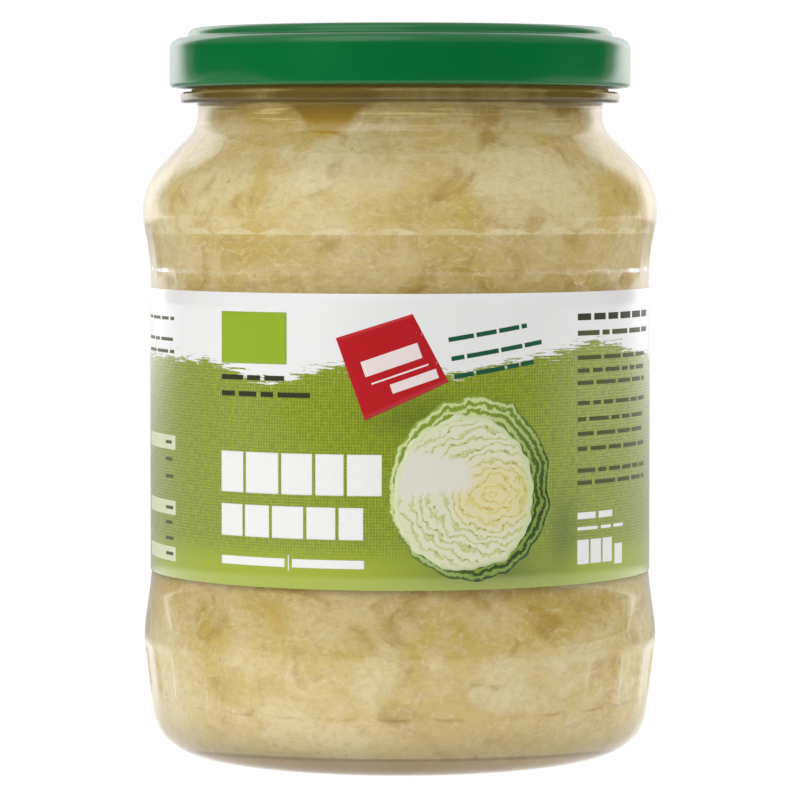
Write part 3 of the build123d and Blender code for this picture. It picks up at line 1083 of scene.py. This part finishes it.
def tiles(shapes, lift, across):
    """Thin closed four-sided shapes that stand a lift proud of the label, with so many points
    along them. A shape is its four corners as (u, v), counter-clockwise from the lower left,
    and each point is the bilinear mix of them."""
    s = np.concatenate([[0], np.linspace(0.02, 0.98, across), [1]])
    t = np.array([0, 0.06, 0.5, 0.94, 1])[:, None]
    corners = np.array(shapes, float)[:, :, :, None, None]
    mix = [(1 - s) * (1 - t), s * (1 - t), s * t, (1 - s) * t]
    flat = sum(corners[:, i] * mix[i] for i in range(4))
    u, v = flat[:, 0], flat[:, 1]
    top = on_label(u, v, lift)
    foot = on_label(u, v, SUNK)
    rows, columns = u.shape[1:]
    count = rows * columns
    points = np.stack([top, foot], 1).reshape(-1, 3)
    face = faces_of(rows, columns, wrap_columns=False)
    grid = np.arange(count).reshape(rows, columns)
    border = np.concatenate([grid[0, :-1], grid[:-1, -1], grid[-1, :0:-1], grid[:0:-1, 0]])
    following = np.roll(border, -1)
    sides = np.stack([border + count, following + count, following, border], -1)
    one = np.concatenate([face, face[:, ::-1] + count, sides])
    faces = one[None] + (np.arange(len(corners)) * 2 * count)[:, None, None]
    return points, faces.reshape(-1, 4)


def bar(left, right, low, high):
    """Corners of an upright rectangle."""
    return ((left, low), (right, low), (right, high), (left, high))


def words(rng, left, right, middle, height, gap=0.9):
    """A line of short bars of unequal length between two ends, in place of small print."""
    shortest, longest = 2.2, 6.5
    found = []
    while left < right - 1:
        end = min(right, left + rng.uniform(shortest, longest))
        found.append(bar(left, end, middle - height / 2, middle + height / 2))
        left = end + gap
    return found


def slanted(shapes, pivot, degrees_up):
    """Shapes turned about a pivot on the label."""
    c, s = np.cos(radians(degrees_up)), np.sin(radians(degrees_up))
    flat = np.array(shapes) - pivot
    return list(flat @ np.array([[c, s], [-s, c]]) + pivot)


def ink_material(name, colour):
    """Printing ink on coated paper, slightly mottled."""
    material, tree = new_material(name)
    mottle = tree.noise(tree.place(), 1400.0, 2.0)
    shade = tuple(0.975 * c for c in colour)
    mottled = tree.blend(shade, (mottle.ramp(0.3, 0.7), colour))
    opaque(tree, mottled, mottle * 0.08 + 0.34, tree.bump(mottle, 0.004 * MM))
    return material


def head_grid(rings, spokes, centre, size, tall, seed):
    """Round shape on the label with a lobed outline: the distance from its centre is the share
    of the ring times a size that waves round it, and upwards it is so many times as tall."""
    broad, fine = ripple(seed, 12, 2.5), ripple(seed + 1, 12, 0.75)
    angle = even_turn(spokes)
    x, y = 3 * np.cos(angle), 3 * np.sin(angle)
    edge = size * (1 + 0.012 * broad(x, y, 0) + 0.014 * fine(x, y, 0))
    share = np.linspace(1, 0, rings + 1)[:-1, None]
    u = centre[0] + share * edge * np.cos(angle)
    v = centre[1] + share * edge * tall * np.sin(angle)
    return u, v


def round_patch(u, v, centre, lift):
    """Thin closed round shape on the label from rings of (u, v), widest first."""
    rings, spokes = u.shape
    top = on_label(u, v, lift).reshape(-1, 3)
    foot = on_label(u[:1], v[:1], SUNK).reshape(-1, 3)
    count = rings * spokes
    middle = np.stack([on_label(*centre, lift), on_label(*centre, SUNK)])
    points = np.concatenate([top, foot, middle])
    ring = np.arange(spokes)
    following = np.roll(ring, -1)
    sides = np.stack([ring + count, following + count, following, ring], -1)
    faces = [faces_of(rings, spokes), sides, fan(ring + count - spokes, count + spokes)]
    faces.append(fan((ring + count)[::-1], count + spokes + 1))
    return points, np.concatenate(faces)


def head_material(heart):
    """Cut face of a cabbage head as printed: thin leaves in broken rings round the heart, gold
    near it and lime further out, with a pale stalk that runs in from the left."""
    material, tree = new_material("Printed cabbage head")
    shifted = tree.node(
        "ShaderNodeVectorMath", {"operation": "SUBTRACT"}, {0: tree.face(), 1: (*heart, 0)}
    )
    u, v, _ = tree.split(shifted)
    bent, crumpled = tree.grain(0.3, 0.3, 3.0), tree.grain(0.9, 0.9, 3.0, 0.6)
    fine = tree.grain(2.2, 2.2, 2.0, 0.6)
    far = (u * u * 0.6 + v * v).math("SQRT") + (bent - 0.5) * 4.5
    rings = (far * 4.4 + (crumpled - 0.5) * 5.0).math("SINE") + (fine - 0.5) * 1.6
    leaf = rings.ramp(0.0, 0.9)
    gaps = (rings + (crumpled - 0.5) * 3.0).ramp(1.0, 1.5)
    near = 1 - far.ramp(2.5, 8.0)
    half = (u + 14.0) * -0.17 + 3.9
    within = 1 - ((v + (u * 0.08) - 2.9).math("ABSOLUTE") - half).ramp(-0.8, 1.2)
    stalk = within * (1 - u.ramp(-5.5, -2.5))
    rim = tree.attribute("rim") + (fine - 0.5) * 0.06
    colour = tree.blend(
        level(226, 224, 196),
        (near * 0.6, level(228, 214, 138)),
        (leaf * 0.75, tree.blend(level(190, 200, 118), (near, level(222, 204, 112)))),
        (gaps * 0.75, tree.blend(level(120, 134, 48), (near, level(170, 132, 44)))),
        (u.ramp(2.5, 8.0) * 0.4, level(190, 200, 96)),
        (stalk * 0.95, level(228, 225, 212)),
        (rim.ramp(0.9, 0.95) * 0.8, level(214, 222, 176)),
    )
    opaque(tree, colour, fine * 0.1 + 0.34, tree.bump(leaf, 0.006 * MM))
    return material


def leaf_material():
    """Outer leaves of the printed head: thin layers that follow the outline, pale and frilled
    towards the upper left and dark towards the lower right."""
    material, tree = new_material("Printed leaves")
    streak, frill = tree.grain(0.8, 0.8, 4.0, 0.6), tree.grain(1.9, 1.9, 2.0, 0.6)
    layers = (tree.attribute("rim") * 74.0 + (streak - 0.5) * 9.0).math("SINE")
    edge = (layers + (frill - 0.5) * 1.8).ramp(-0.5, 0.8)
    dark = tree.blend(level(46, 72, 12), (edge, level(128, 156, 62)))
    light = tree.blend(level(126, 154, 44), (edge, level(206, 216, 150)))
    colour = tree.blend(dark, (tree.attribute("turn"), light))
    opaque(tree, colour, streak * 0.1 + 0.34, tree.bump(edge, 0.006 * MM))
    return material


class JAR_OT_print(bpy.types.Operator):
    """Print the label: plain blocks and bars in place of its words, a red tag, a green plate
    and a halved cabbage"""

    bl_idname = "jar.print"
    bl_label = "Label print"

    def execute(self, context):
        settings = context.scene.jar_label
        rng = np.random.default_rng(7)
        title = []
        for left, low, high, widths in (
            (-35.1, 50.6, 57.9, (5.2, 6.9, 6.0, 5.2, 6.2)),
            (-35.1, 42.8, 48.5, (5.0, 5.2, 6.2, 5.4, 4.4)),
        ):
            for width in widths:
                title.append(bar(left, left + width, low, high))
                left += width + 0.6
        title += [bar(-35.1, -21.1, 37.7, 39.2), bar(-20.5, -20.3, 37.1, 39.9)]
        title += [bar(-19.7, -6.3, 37.7, 39.2), bar(34.9, 37.9, 37.4, 41.8)]
        title += [bar(38.4, 41.4, 37.4, 41.8), bar(41.9, 44.9, 37.4, 41.8)]
        title += [bar(45.8, 48.6, 36.8, 40.5)]
        title += words(rng, 34.9, 45.0, 46.1, 1.2) + words(rng, 34.9, 49.0, 43.8, 0.6)
        tag = ((-6.2, 63.9), (8.6, 70.7), (2.2, 82.7), (-11.4, 78.4))
        on_tag = [bar(-6.2, 4.4, 73.6, 76.4), bar(-5.6, 5.0, 72.0, 72.3)]
        on_tag.append(bar(-2.6, 6.0, 69.3, 71.0))
        small, dark = words(rng, 34.9, 62.0, 78.8, 0.9), words(rng, 34.9, 62.0, 81.7, 1.2)
        for height in (74.4, 72.1, 69.9, 66.3, 63.4, 60.8, 58.1, 54.2, 52.0):
            small += words(rng, 34.9, 60.0, height, 0.75)
        dark += words(rng, -35.0, -21.2, 71.1, 0.9) + words(rng, -35.0, -15.6, 68.2, 0.9)
        for height in (81.0, 77.2, 75.0):
            small += words(rng, -66.0, -50.0, height, 0.6)
        for height in (58.5, 55.4, 52.3, 46.6, 43.9, 41.0, 38.2):
            small += words(rng, -54.0, -50.6, height, 0.6)
        bands = [bar(-66.0, -49.6, height - 1.3, height + 1.3) for height in (58.5, 46.6, 38.2)]
        script = []
        for height, end in ((79.4, 24.0), (76.0, 26.6), (72.8, 24.4)):
            script += words(rng, 9.0, end, height, 0.8, 0.5)
        white = level(243, 243, 241)
        sets = {
            "print_green_plate": ([bar(-35.0, -20.7, 73.6, 82.8)], level(148, 179, 34), 0.015),
            "print_tag": ([tag], settings.tag, 0.02),
            "print_tag_bars": (slanted(on_tag, (0, 73), 19), level(240, 226, 224), 0.03),
            "print_title": (title, white, 0.02),
            "print_pale_bands": (bands, level(222, 228, 190), 0.01),
            "print_small": (small, settings.ink, 0.02),
            "print_lines": (dark, level(44, 52, 20), 0.02),
            "print_script": (slanted(script, (17, 76), 9), level(8, 84, 56), 0.02),
        }
        for name, (shapes, colour, lift) in sets.items():
            across = 8 if len(shapes) > 4 else 24  # a wide shape has to bend with the label
            mesh = make_mesh(name, *tiles(shapes, lift, across))
            place(name, mesh, ink_material(name.replace("_", " "), colour), "label_paper")
        self.head()
        return {"FINISHED"}

    def head(self):
        """The halved cabbage: outer leaves with a pale cut face over them."""
        rings, spokes = 14, 180
        heart = (17.0, 50.6)
        layers = (  # centre, size, how tall, seed and lift
            ("print_leaves", leaf_material(), (13.2, 51.7), 15.2, 1.07, 21, 0.012),
            ("print_head", head_material(heart), (11.7, 50.9), 13.0, 1.05, 25, 0.024),
        )
        for name, material, centre, size, tall, seed, lift in layers:
            u, v = head_grid(rings, spokes, centre, size, tall, seed)
            mesh = make_mesh(name, *round_patch(u, v, centre, lift))
            spots = [np.concatenate([w.ravel(), w[0], [c, c]]) for w, c in zip((u, v), centre)]
            add_uv(mesh, *spots)
            lit = 0.55 - (spots[0] - centre[0]) * 0.04 + (spots[1] - centre[1]) * 0.035
            add_values(mesh, "turn", np.clip(lit, 0, 1))
            share = np.repeat(np.linspace(1, 0, rings + 1)[:-1], spokes)
            add_values(mesh, "rim", np.concatenate([share, np.ones(spokes), [0, 0]]))
            place(name, mesh, material, "label_paper")


# ---------------------------------------------------------------- stage
class JarStageSettings(bpy.types.PropertyGroup):
    """Camera, floor and light."""

    lens: number("Lens", "Focal length", 196.0, unit="CAMERA")
    distance: number("Distance", "From the jar's axis to the camera", 0.81, unit="LENGTH")
    ambient: number("Ambient", "Light from all round on matt surfaces", 0.45)
    key: number("Key", "Left lamp", 14.7, unit="POWER")
    fill: number("Fill", "Right lamp", 12.0, unit="POWER")


def world_light(ambient):
    """Light from all round: white to the camera and through glass, and soft to matt surfaces.
    To a mirror it is bright above and behind the jar, with a wide soft window high up at the
    front left, and dark round the camera."""
    world = bpy.data.worlds.new("Light tent")
    bpy.context.scene.world = world
    tree = Tree(world)
    camera, through, glossy = tree.rays("Camera", "Transmission", "Glossy")
    seen = camera.math("MAXIMUM", through)
    x, y, z = tree.split(tree.node("ShaderNodeTexCoord", None, None, "Generated"))
    over, behind = z.ramp(0.1, 0.9), y.ramp(0.5, 0.95)
    right, back, up = -0.305, -0.452, 0.839  # towards the window
    window = (x * right + y * back + z * up).ramp(0.84, 0.995) * 1.2
    mirrored = (over * 0.7).math("MAXIMUM", behind * 2.1) + window + 0.03
    strength = seen + (1 - seen) * (glossy * mirrored + (1 - glossy) * ambient)
    light = tree.node("ShaderNodeBackground", None, {"Color": (1, 1, 1), "Strength": strength})
    tree.node("ShaderNodeOutputWorld", None, {"Surface": light})


def floor_mesh():
    """Floor that bends up into a backdrop far behind the jar: a wide strip along a level run, a
    quarter turn and an upright run."""
    run = rounded([(-0.55, 0.0), (3.0, 0.0), (3.0, 3.0)], [1.0])
    x = np.linspace(-4, 4, 9)
    points = np.stack(np.broadcast_arrays(x[None, :], run[:, :1], run[:, 1:] - 0.0001), -1)
    faces = faces_of(len(run), len(x), wrap_columns=False)
    return make_mesh("floor", points.reshape(-1, 3) / MM, faces)


def floor_material():
    """White floor that looks white to the camera and through glass and keeps the jar's soft
    shadow. To a mirror it is bright close to the jar and far behind it, least straight behind,
    and to a matt surface it is a little brighter close to the jar."""
    material, tree = new_material("Floor")
    camera, through, glossy, diffuse = tree.rays("Camera", "Transmission", "Glossy", "Diffuse")
    seen = camera.math("MAXIMUM", through)
    x, y, _ = tree.split(tree.place())
    aside = x.math("ABSOLUTE")
    near = (1 - (x * x + y * y).math("SQRT").ramp(0.13, 0.24)) * 0.5
    far = y.ramp(0.4, 1.8) * (aside.ramp(0.4, 1.8) * 0.62 + 0.38) * (1 - aside.ramp(1.9, 3.3))
    mirrored = glossy * near.math("MAXIMUM", far)
    bounced = diffuse * near * 0.16
    surface = tree.node("ShaderNodeBsdfDiffuse", None, {"Color": (0.86, 0.86, 0.86)})
    for amount, strength in ((seen * 0.86, 1.12), (mirrored + bounced, 2.0)):
        sockets = {"Color": (1, 1, 1), "Strength": strength}
        white = tree.node("ShaderNodeEmission", None, sockets)
        surface = tree.mix(amount, surface, white)
    tree.node("ShaderNodeOutputMaterial", None, {"Surface": surface})
    return material


def lamp(name, size, place_at, target, power):
    """Square area lamp with sides of a size, at a place, turned to a target."""
    data = bpy.data.lights.new(name, "AREA")
    data.shape = "RECTANGLE"
    data.size = data.size_y = size
    data.energy = power
    thing = bpy.data.objects.new(name, data)
    thing.location = place_at
    aim = Vector(target) - Vector(place_at)
    thing.rotation_euler = aim.to_track_quat("-Z", "Y").to_euler()
    thing.visible_glossy = False
    thing.visible_transmission = False
    bpy.context.scene.collection.objects.link(thing)


class JAR_OT_stage(bpy.types.Operator):
    """Set the camera, the white floor and the soft light"""

    bl_idname = "jar.stage"
    bl_label = "Stage"

    def execute(self, context):
        settings = context.scene.jar_stage
        floor = bpy.data.objects.new("floor", floor_mesh())
        context.scene.collection.objects.link(floor)
        floor.data.materials.append(floor_material())
        world_light(settings.ambient)
        middle = (0, 0, RIM * MM / 2)
        lamp("key", 0.8, (-1.09, -1.21, 0.45), middle, settings.key)
        lamp("fill", 0.8, (1.62, 0.14, 0.45), middle, settings.fill)
        data = bpy.data.cameras.new("camera")
        data.lens = settings.lens
        data.sensor_width = 36.0
        data.clip_start, data.clip_end = 0.01, 20.0
        camera = bpy.data.objects.new("camera", data)
        height, down = 0.1096, 3.15
        camera.location = (0, -settings.distance, height)
        camera.rotation_euler = (radians(90 - down), 0, 0)
        context.scene.collection.objects.link(camera)
        context.scene.camera = camera
        context.scene.view_settings.view_transform = "Standard"
        return {"FINISHED"}


# ---------------------------------------------------------------- panel and start
GROUPS = {
    "jar_glass": JarGlassSettings,
    "jar_brine": JarBrineSettings,
    "jar_cabbage": JarCabbageSettings,
    "jar_lid": JarLidSettings,
    "jar_label": JarLabelSettings,
    "jar_stage": JarStageSettings,
}
STEPS = (
    JAR_OT_glass,
    JAR_OT_brine,
    JAR_OT_cabbage,
    JAR_OT_lid,
    JAR_OT_label,
    JAR_OT_print,
    JAR_OT_stage,
)


class JAR_PT_panel(bpy.types.Panel):
    """Lists the sizes and colours, and the steps that make the jar."""

    bl_label = "Sauerkraut jar"
    bl_space_type = "VIEW_3D"
    bl_region_type = "UI"
    bl_category = "Jar"

    def draw(self, context):
        for name, group in GROUPS.items():
            box = self.layout.box()
            for setting in group.__annotations__:
                box.prop(getattr(context.scene, name), setting)
        for step in STEPS:
            self.layout.operator(step.bl_idname)


def register():
    for made in (*GROUPS.values(), *STEPS, JAR_PT_panel):
        bpy.utils.register_class(made)
    for name, group in GROUPS.items():
        setattr(bpy.types.Scene, name, bpy.props.PointerProperty(type=group))


def unregister():
    for name in GROUPS:
        delattr(bpy.types.Scene, name)
    for made in reversed((*GROUPS.values(), *STEPS, JAR_PT_panel)):
        bpy.utils.unregister_class(made)


def main():
    """Makes the whole jar."""
    register()
    for step in STEPS:
        getattr(bpy.ops.jar, step.bl_idname.split(".")[1])()


if __name__ == "__main__":
    main()
